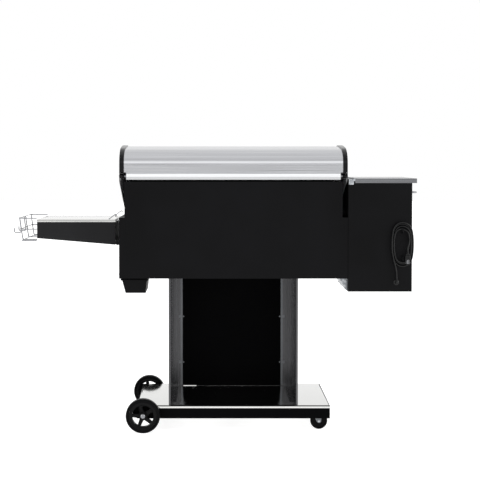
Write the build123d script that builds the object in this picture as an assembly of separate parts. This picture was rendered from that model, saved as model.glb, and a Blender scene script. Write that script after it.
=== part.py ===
from build123d import *
import os
from math import cos, pi, radians, sin

# Pellet smoker grill: a wheeled cart, a cooking chamber with a barrel lid, a pellet hopper with its
# feed and fan, a fold-down side shelf with a wire basket, and a grease drawer.
#
# Frame, in millimetres: +Z is up, the grill's front faces -Y, and the hopper is on the -X side. The
# origin is on the floor, in the middle of the grill's outline. Places are written as (x, d, z): x from
# the chamber's middle, d forward from the outside of its rear panel, z above the floor.

MID_X = -80.0  # the chamber's middle in the frame
REAR_Y = 300.0  # the outside of the rear panel in the frame

# Cart
BASE_HALF = 425.0
BASE_DEPTH = 560.0
BASE_TOP = 115.0
SKIRT_BOTTOM = 57.0
BASE_LIP = 12.0
AXLE_X = 395.0
WHEEL_RADIUS = 75.0
WHEEL_WIDTH = 38.0
RIM_RADIUS = 60.0
HUB_RADIUS = 18.0
AXLE_RADIUS = 8.0
COLLAR_RADIUS = 13.0
SPOKES = 5
SPOKE_START = 75.0
CASTER_X = -367.0
CASTER_TRAIL = 12.0
CASTER_RADIUS = 38.0
CASTER_WIDTH = 20.0
CASTER_INSET = 58.0
COLUMN_HALF = 284.0
COLUMN_REAR = 20.0
COLUMN_FRONT = 504.0
COLUMN_FLANGE = 54.0
PANEL_HALF = 233.0
PANEL_GAP = 1.5

# Cooking chamber
SHEET = 1.5
BODY_HALF = 500.0
BODY_DEPTH = 560.0
BODY_BOTTOM = 672.0
SHOULDER = 939.0
NECK_HALF = 476.0
REAR_TOP = 1096.0
GRATE_Z = 915.0
FIRE_D = 280.0

# Lid: knots (d, z) of its section, from the rear lower edge over the crown to the front edge
LID_KNOTS = [(0, 1104), (0, 1172), (20, 1210.5), (90, 1238), (250, 1252), (575, 945)]
LID_HALF = 498.0
BAND_WIDTH = 20.0
BAND_THICK = 5.0
CAP_EDGE = [(400, 945), (299, 981), (0, 1095)]
HINGE_D = 10.0
HINGE_Z = 1120.0
HANDLE_D = 639.0
HANDLE_Z = 1010.0
HANDLE_HALF = 260.0
HANDLE_RADIUS = 11.0

# Hopper
HOP_OUT = -780.0
HOP_IN = -501.5
HOP_DEPTH = 460.0
HOP_BOTTOM = 615.0
HOP_TOP = 1104.0
HOP_LID_TOP = 1110.0
HOP_LID_OUT = -800.0
HOP_HINGE_X = -527.0
AUGER_Z = 725.0
AUGER_TUBE = 30.0
FEED_X = -640.0
FAN_X = -560.0
FAN_Z = 654.0

# Side shelf
SHELF_IN = 521.0
SHELF_OUT = 870.0
SHELF_REAR = 80.0
SHELF_FRONT = 480.0
SHELF_TOP = 928.0
PIVOT_X = 512.0
PIVOT_Z = 822.0
WIRE = 2.5
HOOK_TIP = 982.0

# Grease drawer under the chamber
DRAWER_X0 = 379.0
DRAWER_X1 = 489.0
DRAWER_D0 = 22.0
DRAWER_D1 = 240.0
DRAWER_BOTTOM = 607.0

# Mains cord, coiled on two hooks behind the hopper
CORD = 7.0
COIL_X = -737.0
COIL_Z = 822.0
COIL_OUTER = (52.0, 104.0)
COIL_INNER = (30.0, 56.0)
COIL_D = (-26.0, -10.0)
GLAND_X = -712.0
GLAND_Z = 656.0
LEAD = [(-712, -14, 676), (-712, -14, 692), (-709.5, -15, 712), (-705.5, -16.5, 732), (-699, -18, 752),
        (-696, -18, 772)]
TAIL = [(-755, -16, 866.5), (-759, -20, 853), (-760, -27, 839), (-758, -36, 825), (-755, -41, 811),
        (-755, -41, 798)]


def at(x, d, z):
    """The frame's point for x from the chamber's middle, d forward of the rear panel, z up."""
    return Vector(MID_X + x, REAR_Y - d, z)


def block(x0, x1, d0, d1, z0, z1):
    """A box between six limits, given in any order."""
    middle = at((x0 + x1) / 2, (d0 + d1) / 2, (z0 + z1) / 2)
    return Pos(middle) * Box(abs(x1 - x0), abs(d1 - d0), abs(z1 - z0))


def rod(start, end, radius):
    """A round bar between two (x, d, z) points."""
    foot = at(*start)
    run = at(*end) - foot
    upright = (Align.CENTER, Align.CENTER, Align.MIN)
    return Plane(origin=foot, z_dir=run) * Cylinder(radius, run.length, align=upright)


def tube(points, radius, bends):
    """A bent round bar or wire through (x, d, z) points, with one bend radius or a list."""
    path = FilletPolyline(*[at(*p) for p in points], radius=bends)
    return sweep(Plane(origin=path @ 0, z_dir=path % 0) * Circle(radius), path=path)


def across(outline, x0, x1):
    """A prism along x with a section of (d, z) points."""
    face = Face(Wire.make_polygon([at(x0, d, z) for d, z in outline]))
    return extrude(face, x1 - x0, dir=(1, 0, 0))


def deep(outline, d0, d1):
    """A prism along d with a section of (x, z) points."""
    face = Face(Wire.make_polygon([at(x, d0, z) for x, z in outline]))
    return extrude(face, d1 - d0, dir=(0, -1, 0))


def tall(outline, z0, z1):
    """An upright prism with a plan of (x, d) points."""
    face = Face(Wire.make_polygon([at(x, d, z0) for x, d in outline]))
    return extrude(face, z1 - z0, dir=(0, 0, 1))


def ring(x, d, z, outer, inner, width):
    """A ring around the d direction, width long and centred on d."""
    hoop = rod((x, d - width / 2, z), (x, d + width / 2, z), outer)
    return hoop - rod((x, d - width, z), (x, d + width, z), inner)


def twin(shape):
    """The same shape on the other side of the chamber's middle."""
    return mirror(shape, about=Plane.YZ.offset(MID_X))


def fused(shapes):
    """One solid from shapes that touch or overlap."""
    return shapes[0].fuse(*shapes[1:]).clean()


def group(shapes):
    """Separate solids that share one node."""
    return Compound(children=[s for shape in shapes for s in shape.solids()])


def front_wheel_d():
    return BASE_DEPTH + 28


def rear_wheel_d():
    return -28.0


# ---------------------------------------------------------------- cart

def base_shelf():
    tray = block(-BASE_HALF, BASE_HALF, 0, BASE_DEPTH, BASE_TOP - BASE_LIP, BASE_TOP)
    inside = block(SHEET - BASE_HALF, BASE_HALF - SHEET, SHEET, BASE_DEPTH - SHEET, 0, BASE_TOP - SHEET)
    return tray - inside


def axle_bracket(d, outward):
    """A plate on the skirt that the axle passes through, stepped to clear the base shelf's lip."""
    lip_bottom = BASE_TOP - BASE_LIP
    low = block(AXLE_X - 46, AXLE_X + 46, d - SHEET * outward, d + 2.5 * outward, 64, lip_bottom)
    high = block(AXLE_X - 46, AXLE_X + 46, d + 0.01 * outward, d + 2.5 * outward, lip_bottom, BASE_TOP - 2)
    return low.fuse(high) - rod((AXLE_X, d - 30, WHEEL_RADIUS), (AXLE_X, d + 30, WHEEL_RADIUS), COLLAR_RADIUS)


def base_frame():
    """The black skirt under the base shelf, with cross rails, axle brackets and the casters' swivel plates."""
    half, top = BASE_HALF - SHEET, BASE_TOP - SHEET
    skirt = block(-half, half, SHEET, BASE_DEPTH - SHEET, SKIRT_BOTTOM, top)
    skirt -= block(2 - half, half - 2, SHEET + 2, BASE_DEPTH - SHEET - 2, 0, BASE_TOP)
    rails = [
        block(x - 36, x + 36, SHEET + 2, BASE_DEPTH - SHEET - 2, 89, top)
        - block(x - 34, x + 34, 0, BASE_DEPTH, 91, BASE_TOP)
        for x in (CASTER_X, 0, 300)
    ]
    plates = [block(CASTER_X - 30, CASTER_X + 30, d - 38, d + 38, 86, 89)
              for d in (CASTER_INSET, BASE_DEPTH - CASTER_INSET)]
    brackets = [axle_bracket(0, -1), axle_bracket(BASE_DEPTH, 1)]
    frame = fused([skirt] + rails + plates + brackets)
    return frame - rod((AXLE_X, -20, WHEEL_RADIUS), (AXLE_X, 600, WHEEL_RADIUS), AXLE_RADIUS)


def column():
    """The stainless C-section on the shelf side: outer web, front flange, rear hem, foot and head."""
    out, back, front = COLUMN_HALF, COLUMN_REAR, COLUMN_FRONT
    lip, hem = out - COLUMN_FLANGE, out - 8
    plan = [(out, back), (out, front), (lip, front), (lip, front - SHEET), (out - SHEET, front - SHEET),
            (out - SHEET, back + SHEET), (hem, back + SHEET), (hem, back)]
    foot = block(out - 32, out - SHEET, 60, 460, BASE_TOP, BASE_TOP + SHEET)
    head = block(out - 32, out - SHEET, 60, 460, BODY_BOTTOM - SHEET, BODY_BOTTOM)
    return fused([tall(plan, BASE_TOP, BODY_BOTTOM), foot, head])


def front_panel():
    """The black sheet between the columns, with two painted stud ends low on its rear."""
    back = COLUMN_FRONT - 5
    sheet = block(-PANEL_HALF, PANEL_HALF, back, back + SHEET, BASE_TOP + PANEL_GAP, BODY_BOTTOM - PANEL_GAP)
    return fused([sheet] + [rod((x, back - 9, 154), (x, back, 154), 4) for x in (76.5, 138)])


def panel_fixings():
    """Two edge strips beside the panel, with straps and bolts that tie it to the columns."""
    back = COLUMN_FRONT - 5
    made = []
    for side in (-1, 1):
        strip = [block(side * 233.5, side * 242, back + SHEET, back + 3.3, BASE_TOP + 4, BODY_BOTTOM - 4)]
        for z in (228, 446, 658):
            strip.append(block(side * 224, side * 252, back + SHEET, back + 3.3, z - 6, z + 6))
            made.append(rod((side * 228.5, back - 3, z), (side * 228.5, back, z), 3.5))
            made.append(rod((side * 247, back, z), (side * 247, back + SHEET, z), 3.5))
        made.append(fused(strip))
    return group(made)


def wheel_axle():
    """The axle, its spacer collars and the two bright end caps that keep the wheels on."""
    z = WHEEL_RADIUS
    first, last = rear_wheel_d(), front_wheel_d()
    bar = rod((AXLE_X, first - 19, z), (AXLE_X, last + 19, z), AXLE_RADIUS)
    caps = [rod((AXLE_X, d0, z), (AXLE_X, d1, z), 10.5)
            for d0, d1 in ((first - 22, first - 19), (last + 19, last + 22))]
    collars = [rod((AXLE_X, d0, z), (AXLE_X, d1, z), COLLAR_RADIUS) for d0, d1 in ((-8.5, SHEET), (558.5, 568.5))]
    return fused([bar] + caps + collars)


def wheel_tyre(d):
    tyre = ring(AXLE_X, d, WHEEL_RADIUS, WHEEL_RADIUS, RIM_RADIUS, WHEEL_WIDTH)
    edges = [e for e in tyre.edges().filter_by(GeomType.CIRCLE) if abs(e.radius - WHEEL_RADIUS) < 0.1]
    return fillet(edges, 7)


def wheel_rim(d, outward):
    """A five-spoke rim whose spokes sit towards the outside face; outward is -1 at the rear, 1 in front."""
    z = WHEEL_RADIUS
    hoop = ring(AXLE_X, d, z, RIM_RADIUS, 46, WHEEL_WIDTH - 6)
    hub = rod((AXLE_X, d - 18.5, z), (AXLE_X, d + 18.5, z), HUB_RADIUS)
    mid = d + 5 * outward
    pieces = [hoop, hub]
    for i in range(SPOKES):
        turn = -(SPOKE_START + 360 / SPOKES * i)
        arm = Pos(at(AXLE_X, mid, z)) * Rot(0, turn, 0) * Pos(31.5, 0, 0) * Box(33, 14, 13)
        pieces.append(arm)
    return fused(pieces) - rod((AXLE_X, d - 30, z), (AXLE_X, d + 30, z), AXLE_RADIUS + 0.3)


def caster_fork(d):
    """Swivel race, crown and two tapering legs, with the wheel's pin across them."""
    hub_x = CASTER_X - CASTER_TRAIL
    race = rod((CASTER_X, d, 82), (CASTER_X, d, 85.7), 20)
    crown = block(CASTER_X - 26, CASTER_X + 20, d - 14, d + 14, 79, 82)
    outline = [(CASTER_X - 26, 80), (CASTER_X + 20, 80), (hub_x + 9, 34), (hub_x + 4, 29), (hub_x - 4, 29),
               (hub_x - 9, 34)]
    legs = [deep(outline, d + s * 11.5, d + s * 14) for s in (-1, 1)]
    pin = rod((hub_x, d - 17, CASTER_RADIUS), (hub_x, d + 17, CASTER_RADIUS), 4)
    return fused([race, crown, pin] + legs)


def caster_wheel(d):
    hub_x, z = CASTER_X - CASTER_TRAIL, CASTER_RADIUS
    wheel = ring(hub_x, d, z, CASTER_RADIUS, 4.3, CASTER_WIDTH)
    edges = [e for e in wheel.edges().filter_by(GeomType.CIRCLE) if abs(e.radius - CASTER_RADIUS) < 0.1]
    return fillet(edges, 4)


# ---------------------------------------------------------------- cooking chamber

def body_rear_panel():
    low = block(-BODY_HALF, BODY_HALF, 0, SHEET, BODY_BOTTOM, SHOULDER)
    return fused([low, block(-NECK_HALF, NECK_HALF, 0, SHEET, SHOULDER, REAR_TOP)])


def body_front_panel():
    """Front sheet, ledge and the lip that the lid closes over."""
    back, neck = BODY_DEPTH - SHEET, NECK_HALF - SHEET
    sheet = block(-BODY_HALF, BODY_HALF, back, BODY_DEPTH, BODY_BOTTOM, SHOULDER)
    ledge = block(-neck, neck, 543.5, back, SHOULDER - SHEET, SHOULDER)
    return fused([sheet, ledge, block(-neck, neck, 543.5, 545, SHOULDER - SHEET, 962)])


def body_side():
    """The shelf-side wall: lower sheet, shoulder and the sloping neck inside the lid."""
    back, neck = BODY_DEPTH - SHEET, NECK_HALF - SHEET
    low = block(BODY_HALF - SHEET, BODY_HALF, SHEET, back, BODY_BOTTOM, SHOULDER)
    shoulder = block(neck, BODY_HALF, SHEET, back, SHOULDER - SHEET, SHOULDER)
    slope = [(SHEET, SHOULDER - SHEET), (SHEET, REAR_TOP), (30, REAR_TOP - 8), (300, 1000), (543.5, 962),
             (543.5, SHOULDER - SHEET)]
    return fused([low, shoulder, across(slope, neck, NECK_HALF)])


def body_floor():
    """The floor sheet, open to the air duct and the grease chute, with the drawer's two runners."""
    half, back = BODY_HALF - SHEET, BODY_DEPTH - SHEET
    floor = block(-half, half, SHEET, back, BODY_BOTTOM, BODY_BOTTOM + SHEET)
    floor -= block(-496, -470, 45, 315, 600, 700) + block(416, 454, 61, 119, 600, 700)
    middle = (DRAWER_X0 + DRAWER_X1) / 2
    rail = [(DRAWER_X0 + x - middle, z) for x, z in ((-5.5, BODY_BOTTOM), (-5.5, 661.5), (-0.5, 661.5),
                                                     (-0.5, 663), (-4, 663), (-4, BODY_BOTTOM))]
    runners = [deep([(middle + side * x, z) for x, z in rail], DRAWER_D0, DRAWER_D1) for side in (-1, 1)]
    return fused([floor] + runners)


def grate_rails():
    """Two ledges that carry the cooking grates, and two under the grease pan's ends."""
    half = BODY_HALF - SHEET
    made = [block(-half, half, SHEET, 24, GRATE_Z - SHEET, GRATE_Z),
            block(-half, half, 528, BODY_DEPTH - SHEET, GRATE_Z - SHEET, GRATE_Z),
            block(-half, -468, 60, 500, 856, 857.5),
            block(462, half, 60, 500, 818.5, 820)]
    return group(made)


def fire_pot():
    floor = BODY_BOTTOM + SHEET
    pot = rod((0, FIRE_D, floor), (0, FIRE_D, 792), 72) - rod((0, FIRE_D, floor + 2), (0, FIRE_D, 800), 69.5)
    pot -= rod((-100, FIRE_D, AUGER_Z), (-50, FIRE_D, AUGER_Z), AUGER_TUBE)
    return pot - rod((-100, FIRE_D, 685), (-50, FIRE_D, 685), 5)


def igniter():
    return rod((-130, FIRE_D, 685), (-58, FIRE_D, 685), 5)


def heat_diffuser():
    """A steel roof over the fire pot on four legs."""
    outline = [(-200, 796), (0, 826), (200, 796), (200, 798.5), (0, 828.5), (-200, 798.5)]
    legs = [rod((x, d, BODY_BOTTOM + SHEET), (x, d, 799), 5) for x in (-185, 185) for d in (140, 420)]
    return fused([deep(outline, 120, 440)] + legs)


def grease_pan():
    """A sheet that slopes to the shelf side and drops its grease into the chute."""
    outline = [(-470, 858), (-470, 866), (-468.5, 866), (-468.5, 859.5), (425, 821.5), (480, 821.5), (480, 820),
               (425, 820)]
    return deep(outline, 26, 526) - block(420, 450, 66, 114, 800, 840)


def grease_chute():
    """The square pipe from the grease pan to the drawer."""
    pipe = block(416, 454, 61, 119, 668, 819.8)
    return pipe - block(418, 452, 63, 117, 600, 900)


def cooking_grates():
    """Two flat-bar grates, side by side."""
    made = []
    for x0, x1 in ((-468, -3), (3, 468)):
        grate = block(x0, x1, 8, 540, GRATE_Z, GRATE_Z + 7)
        pitch = (x1 - x0 - 12) / 15
        gaps = [block(x0 + 10 + i * pitch, x0 + 2 + (i + 1) * pitch, d0, d1, 900, 930)
                for i in range(15) for d0, d1 in ((20, 268), (280, 528))]
        made.append(grate.cut(*gaps))
    return group(made)


def temperature_probe():
    return fused([rod((-498.5, 70, 885), (-400, 70, 885), 3), rod((-498.5, 70, 885), (-490, 70, 885), 8)])


# ---------------------------------------------------------------- lid

def lid_curve(x, grow=0.0):
    """The lid's section at x as a chain of tangent arcs, moved outward by grow."""
    knots = [at(x, d, z) for d, z in LID_KNOTS]
    headings = [Vector(0, 0, 1), Vector(0, 0, 1)]
    for start, end in zip(knots[1:], knots[2:]):
        headings.append(TangentArc(start, end, tangent=headings[-1]) % 1)
    moved = [k + Vector(0, h.Z, -h.Y) * grow for k, h in zip(knots, headings)]
    arcs = [TangentArc(a, b, tangent=h) for a, b, h in zip(moved[1:], moved[2:], headings[1:])]
    return [Line(moved[0], moved[1])] + arcs, moved


def lid_layer(x0, x1, inner, outer):
    """The layer of the lid between two amounts of growth, from x0 to x1."""
    low, low_knots = lid_curve(x0, inner)
    high, high_knots = lid_curve(x0, outer)
    ends = [Line(low_knots[0], high_knots[0]), Line(low_knots[-1], high_knots[-1])]
    return extrude(make_face(low + high + ends), x1 - x0, dir=(1, 0, 0))


def lid_skin():
    """The bent stainless sheet, notched at its rear corners for the hinges."""
    half = LID_HALF - 2.5
    skin = lid_layer(-half, half, -SHEET, 0)
    for side in (-1, 1):
        skin -= block(side * 468, side * 520, -5, 10, 1100, 1136)
    return skin


def lid_cap():
    """The shelf-side end of the lid: end plate, raised band over the skin's edge and hinge knuckle."""
    inner = LID_HALF - 2.5
    curve, knots = lid_curve(inner, BAND_THICK)
    low = [knots[-1]] + [at(inner, d, z) for d, z in CAP_EDGE] + [knots[0]]
    sides = [Line(a, b) for a, b in zip(low, low[1:])]
    plate = extrude(make_face(curve + sides), 2.5, dir=(1, 0, 0))
    band = lid_layer(LID_HALF - BAND_WIDTH, inner, 0, BAND_THICK)
    band -= block(400, inner, -10, 10, 1100, 1136)
    knuckle = rod((486.4, HINGE_D, HINGE_Z), (inner, HINGE_D, HINGE_Z), 9)
    cap = fused([plate, band, knuckle])
    return cap - rod((470, HINGE_D, HINGE_Z), (520, HINGE_D, HINGE_Z), 5.3)


def lid_hinge_brackets():
    """Fixed hinge arms on the chamber's neck."""
    arm = block(NECK_HALF, NECK_HALF + 3, 2, 28, 1030, HINGE_Z - 2)
    knuckle = rod((NECK_HALF, HINGE_D, HINGE_Z), (486, HINGE_D, HINGE_Z), 9)
    bracket = fused([arm, knuckle]) - rod((470, HINGE_D, HINGE_Z), (500, HINGE_D, HINGE_Z), 5)
    return group([bracket, twin(bracket)])


def lid_hinge_pins():
    pin = rod((472, HINGE_D, HINGE_Z), (499.8, HINGE_D, HINGE_Z), 5)
    head = rod((470, HINGE_D, HINGE_Z), (472, HINGE_D, HINGE_Z), 8)
    return group([fused([pin, head]), twin(fused([pin, head]))])


def lid_handle():
    bar = rod((-HANDLE_HALF, HANDLE_D, HANDLE_Z), (HANDLE_HALF, HANDLE_D, HANDLE_Z), HANDLE_RADIUS)
    return fillet(bar.edges().filter_by(GeomType.CIRCLE), 4)


def handle_posts():
    """Two standoffs, each with a round foot on the lid's skin."""
    grip = rod((-400, HANDLE_D, HANDLE_Z), (400, HANDLE_D, HANDLE_Z), HANDLE_RADIUS)
    made = []
    for x in (-225, 225):
        post = fused([rod((x, 540, HANDLE_Z), (x, HANDLE_D, HANDLE_Z), 7),
                      rod((x, 540, HANDLE_Z), (x, 574, HANDLE_Z), 15)])
        made.append(post - grip - lid_core(x))
    return group(made)


def lid_core(x):
    """Everything inside the lid's outer face around x, to cut away what would sink into the skin."""
    curve, knots = lid_curve(x - 40)
    return extrude(make_face(curve + [Line(knots[-1], knots[0])]), 80, dir=(1, 0, 0))


# ---------------------------------------------------------------- hopper

def hopper_casing():
    """The black bin: four walls, floor and the fixed strip beside the lid's hinge."""
    shell = block(HOP_OUT, HOP_IN, 0, HOP_DEPTH, HOP_BOTTOM, HOP_TOP)
    shell -= block(HOP_OUT + SHEET, HOP_IN - SHEET, SHEET, HOP_DEPTH - SHEET, HOP_BOTTOM + SHEET, HOP_TOP + 9)
    strip = block(HOP_HINGE_X + 5, HOP_IN, 0, HOP_DEPTH, HOP_TOP, HOP_TOP + 2)
    casing = fused([shell, strip])
    casing -= rod((-520, FIRE_D, AUGER_Z), (-490, FIRE_D, AUGER_Z), AUGER_TUBE)
    casing -= block(-510, -495, 62, 118, FAN_Z - 14, FAN_Z + 10)
    return casing - rod((GLAND_X, -5, GLAND_Z), (GLAND_X, 5, GLAND_Z), 6)


def frustum(top, bottom, z_top, z_bottom):
    """A solid between two (x0, x1, d0, d1) rectangles."""
    faces = []
    for (x0, x1, d0, d1), z in ((top, z_top), (bottom, z_bottom)):
        faces.append(Face(Wire.make_polygon([at(x0, d0, z), at(x1, d0, z), at(x1, d1, z), at(x0, d1, z)])))
    return loft(faces, ruled=True)


def hopper_funnel():
    """The pellet funnel and its square throat over the auger."""
    x0, x1, d1 = HOP_OUT + SHEET, HOP_IN - SHEET, HOP_DEPTH - SHEET
    throat = (FEED_X - 32, FEED_X + 32, FIRE_D - 32, FIRE_D + 32)
    hole = (FEED_X - 30, FEED_X + 30, FIRE_D - 30, FIRE_D + 30)
    outer = frustum((x0, x1, SHEET, d1), throat, 960, 790)
    inner = frustum((x0 + 2, x1 - 2, SHEET + 2, d1 - 2), hole, 960.01, 789.99)
    neck = block(*throat, 757, 790) - block(*hole, 750, 800)
    return fused([outer - inner, neck])


def hinge_knuckles(first):
    """Every second knuckle of the hopper lid's piano hinge, from the given place."""
    z = HOP_TOP + 5
    return [rod((HOP_HINGE_X, d + 0.4, z), (HOP_HINGE_X, d + 39.6, z), 3.5)
            for d in range(first, 420, 80)]


def hopper_hinge():
    """The piano hinge's fixed leaf and knuckles."""
    leaf = block(HOP_HINGE_X + 2, HOP_IN - 3, 30, 430, HOP_TOP + 2, HOP_TOP + 3.5)
    leaf -= rod((HOP_HINGE_X, 0, HOP_TOP + 5), (HOP_HINGE_X, 500, HOP_TOP + 5), 4)
    arms = [block(HOP_HINGE_X, HOP_HINGE_X + 7, d + 0.4, d + 39.6, HOP_TOP + 2, HOP_TOP + 3.5)
            for d in range(30, 420, 80)]
    return fused([leaf] + hinge_knuckles(30) + arms)


def hopper_lid():
    """A flat stainless lid with turned-down edges and its own hinge knuckles."""
    edge = HOP_HINGE_X - 4
    top = block(HOP_LID_OUT, edge, -4, HOP_DEPTH + 4, HOP_LID_TOP - 20, HOP_LID_TOP)
    top -= block(HOP_LID_OUT + SHEET, edge + 9, SHEET - 4, HOP_DEPTH + 4 - SHEET, 1000, HOP_LID_TOP - SHEET)
    arms = [block(edge - 4, HOP_HINGE_X, d + 0.4, d + 39.6, HOP_LID_TOP - SHEET, HOP_LID_TOP)
            for d in range(70, 420, 80)]
    return fused([top] + hinge_knuckles(70) + arms)


def hopper_side_handle():
    """A bent rod on the hopper's outer wall."""
    loop = [(HOP_OUT, 130, 1046), (HOP_OUT - 38, 130, 1046), (HOP_OUT - 38, 330, 1046), (HOP_OUT, 330, 1046)]
    feet = [rod((HOP_OUT - 3, d, 1046), (HOP_OUT, d, 1046), 9) for d in (130, 330)]
    return fused([tube(loop, 4, 12)] + feet)


def control_panel():
    """The controller's housing on the hopper's front face."""
    outline = [(HOP_DEPTH, 920), (500, 920), (500, 1030), (480, 1062), (HOP_DEPTH, 1062)]
    housing = across(outline, -756, -546)
    housing -= block(-730, -630, 497, 510, 965, 1015)
    return housing - block(-611, -589, 490, 510, 931.5, 948.5)


def control_display():
    return block(-730, -630, 497, 499.5, 965, 1015)


def control_knob():
    knob = rod((-590, 500.4, 990), (-590, 520, 990), 20)
    return knob - block(-592, -588, 517, 530, 990, 1012)


def power_switch():
    return block(-610.5, -589.5, 494.5, 503, 933.5, 946.5)


def auger_tube():
    shell = rod((-694, FIRE_D, AUGER_Z), (-60, FIRE_D, AUGER_Z), AUGER_TUBE)
    shell -= rod((-700, FIRE_D, AUGER_Z), (-50, FIRE_D, AUGER_Z), AUGER_TUBE - 2.5)
    flange = rod((HOP_IN, FIRE_D, AUGER_Z), (-BODY_HALF, FIRE_D, AUGER_Z), 46)
    flange -= rod((-510, FIRE_D, AUGER_Z), (-490, FIRE_D, AUGER_Z), AUGER_TUBE)
    shell -= block(FEED_X - 28, FEED_X + 28, FIRE_D - 20, FIRE_D + 20, AUGER_Z, 800)
    return fused([shell, flange])


def auger_screw():
    """The feed shaft with slanted flights."""
    shaft = rod((-712, FIRE_D, AUGER_Z), (-66, FIRE_D, AUGER_Z), 7)
    sleeve = rod((-685, FIRE_D, AUGER_Z), (-66, FIRE_D, AUGER_Z), 25)
    flights = []
    for i in range(15):
        place = Pos(at(-670 + 42 * i, FIRE_D, AUGER_Z)) * Rot(0, 90 - 24, 0)
        flights.append(place * Cylinder(40, 2.5) & sleeve)
    return fused([shaft] + flights)


def auger_motor():
    """Gearbox and motor on the end of the auger tube."""
    gearbox = block(-748, -713, FIRE_D - 34, FIRE_D + 34, 690, 760)
    collar = block(-713, -694.2, FIRE_D - 30, FIRE_D + 30, 694, 697)
    motor = rod((-770, FIRE_D, 735), (-748, FIRE_D, 735), 22)
    return fused([gearbox, motor, collar])


def fan_housing():
    """The blower's drum and its square outlet towards the duct."""
    drum = rod((FAN_X, 60, FAN_Z), (FAN_X, 120, FAN_Z), 34)
    outlet = block(FAN_X, HOP_IN - SHEET, 60, 120, FAN_Z - 16, FAN_Z + 12)
    body = fused([drum, outlet])
    body -= rod((FAN_X, 62, FAN_Z), (FAN_X, 140, FAN_Z), 32)
    body -= block(FAN_X, -490, 62, 118, FAN_Z - 14, FAN_Z + 10)
    return body


def fan_impeller():
    """Backplate, hub and twelve blades."""
    disc = rod((FAN_X, 64, FAN_Z), (FAN_X, 66, FAN_Z), 28)
    hub = rod((FAN_X, 66, FAN_Z), (FAN_X, 112, FAN_Z), 9)
    blades = []
    for i in range(12):
        place = Pos(at(FAN_X, 88, FAN_Z)) * Rot(0, 30 * i, 0) * Pos(23, 0, 0) * Rot(0, 25, 0)
        blades.append(place * Box(9, 44.2, 1.5))
    return fused([disc, hub] + blades)


def air_duct():
    """The bare metal duct from the blower's outlet up to the chamber's floor."""
    outline = [(HOP_IN, 617), (-497, 617), (-466, 671.8), (HOP_IN, 671.8)]
    inner = [(-510, 618.5), (-498, 618.5), (-468.5, 680), (-510, 680)]
    return deep(outline, 40, 320) - deep(inner, 41.5, 318.5)


# ---------------------------------------------------------------- mains cord

def cord_hooks():
    """Two bent hooks behind the hopper that hold the coiled cord, one turned up and one down."""
    made = []
    for z, turn in ((874, 1), (769.5, -1)):
        made.append(tube([(COIL_X, 0, z), (COIL_X, -31, z), (COIL_X, -31, z + 16 * turn)], 3, 6))
    return group(made)


def cord_gland():
    """A round boss on the hopper's rear face with a boot that turns the cord upwards."""
    boss = rod((GLAND_X, -5, GLAND_Z), (GLAND_X, 0, GLAND_Z), 12)
    neck = rod((GLAND_X, -14, GLAND_Z), (GLAND_X, 5, GLAND_Z), 6)
    elbow = Pos(at(GLAND_X, -14, GLAND_Z)) * Sphere(6)
    boot = Plane(origin=at(GLAND_X, -14, GLAND_Z)) * Cone(6, 4.6, 20, align=(Align.CENTER, Align.CENTER, Align.MIN))
    return fused([boss, neck, elbow, boot])


def cord_coil():
    """The outer shape of the coiled length: an upright oval ring."""
    plane = Plane(origin=at(COIL_X, COIL_D[0], COIL_Z), x_dir=(1, 0, 0), z_dir=(0, -1, 0))
    oval = plane * (Ellipse(*COIL_OUTER) - Ellipse(*COIL_INNER))
    return extrude(oval, COIL_D[1] - COIL_D[0])


def bend_radii(points):
    """As large a radius at each corner as the shorter of its two runs allows."""
    places = [at(*p) for p in points]
    radii = []
    for a, b, c in zip(places, places[1:], places[2:]):
        half_turn = radians((b - a).get_angle(c - b)) / 2
        radii.append(0.45 * min((b - a).length, (c - b).length) * cos(half_turn) / sin(half_turn))
    return radii


def cord_length(points, name):
    """A cord's loose stretch, with its radii printed and its volume checked against its length."""
    radii = bend_radii(points)
    path = FilletPolyline(*[at(*p) for p in points], radius=radii)
    solid = tube(points, CORD / 2, radii)
    expected = path.length * pi * CORD**2 / 4
    print(name, "radii", [round(r, 1) for r in radii], "length", round(path.length, 1),
          "volume ratio", round(solid.volume / expected, 4))
    return solid


def cord_plug():
    """The moulded plug with its strain relief, hanging prongs down."""
    x, d, z = TAIL[-1]
    body = Pos(at(x, d, z - 26)) * Box(24, 20, 30)
    body = fillet(body.edges().filter_by(Axis.Z), 6)
    relief = rod((x, d, z - 12), (x, d, z), 5)
    prongs = [block(x + s * 6.5 - 0.8, x + s * 6.5 + 0.8, d - 3.2, d + 3.2, z - 58, z - 40) for s in (-1, 1)]
    return fused([body, relief] + prongs)


# ---------------------------------------------------------------- side shelf

def shelf_top():
    """The stainless worktop with turned-down edges."""
    top = block(SHELF_IN, SHELF_OUT, SHELF_REAR, SHELF_FRONT, SHELF_TOP - 12, SHELF_TOP)
    inside = block(SHELF_IN + SHEET, SHELF_OUT - SHEET, SHELF_REAR + SHEET, SHELF_FRONT - SHEET, 0,
                   SHELF_TOP - SHEET)
    return top - inside


def shelf_frame():
    """Black aprons that get deeper towards the grill, with two hinge lugs."""
    x0, x1 = SHELF_IN + SHEET, SHELF_OUT - SHEET
    d0, d1, top = SHELF_REAR + SHEET, SHELF_FRONT - SHEET, SHELF_TOP - SHEET
    outline = [(x0, top), (x1, top), (x1, 844), (x0, 815)]
    ring_of_aprons = deep(outline, d0, d1) - block(x0 + 2, x1 - 2, d0 + 2, d1 - 2, 700, 1000)
    lugs = []
    for first, last in ((d0 + 2, d0 + 5), (d1 - 5, d1 - 2)):
        lugs.append(rod((PIVOT_X, first, PIVOT_Z), (PIVOT_X, last, PIVOT_Z), 8.5))
        lugs.append(block(PIVOT_X, x0 + 20, first, last, PIVOT_Z - 5.5, PIVOT_Z + 8.5))
    frame = fused([ring_of_aprons] + lugs)
    return frame - rod((PIVOT_X, 0, PIVOT_Z), (PIVOT_X, 600, PIVOT_Z), 4.3)


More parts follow.
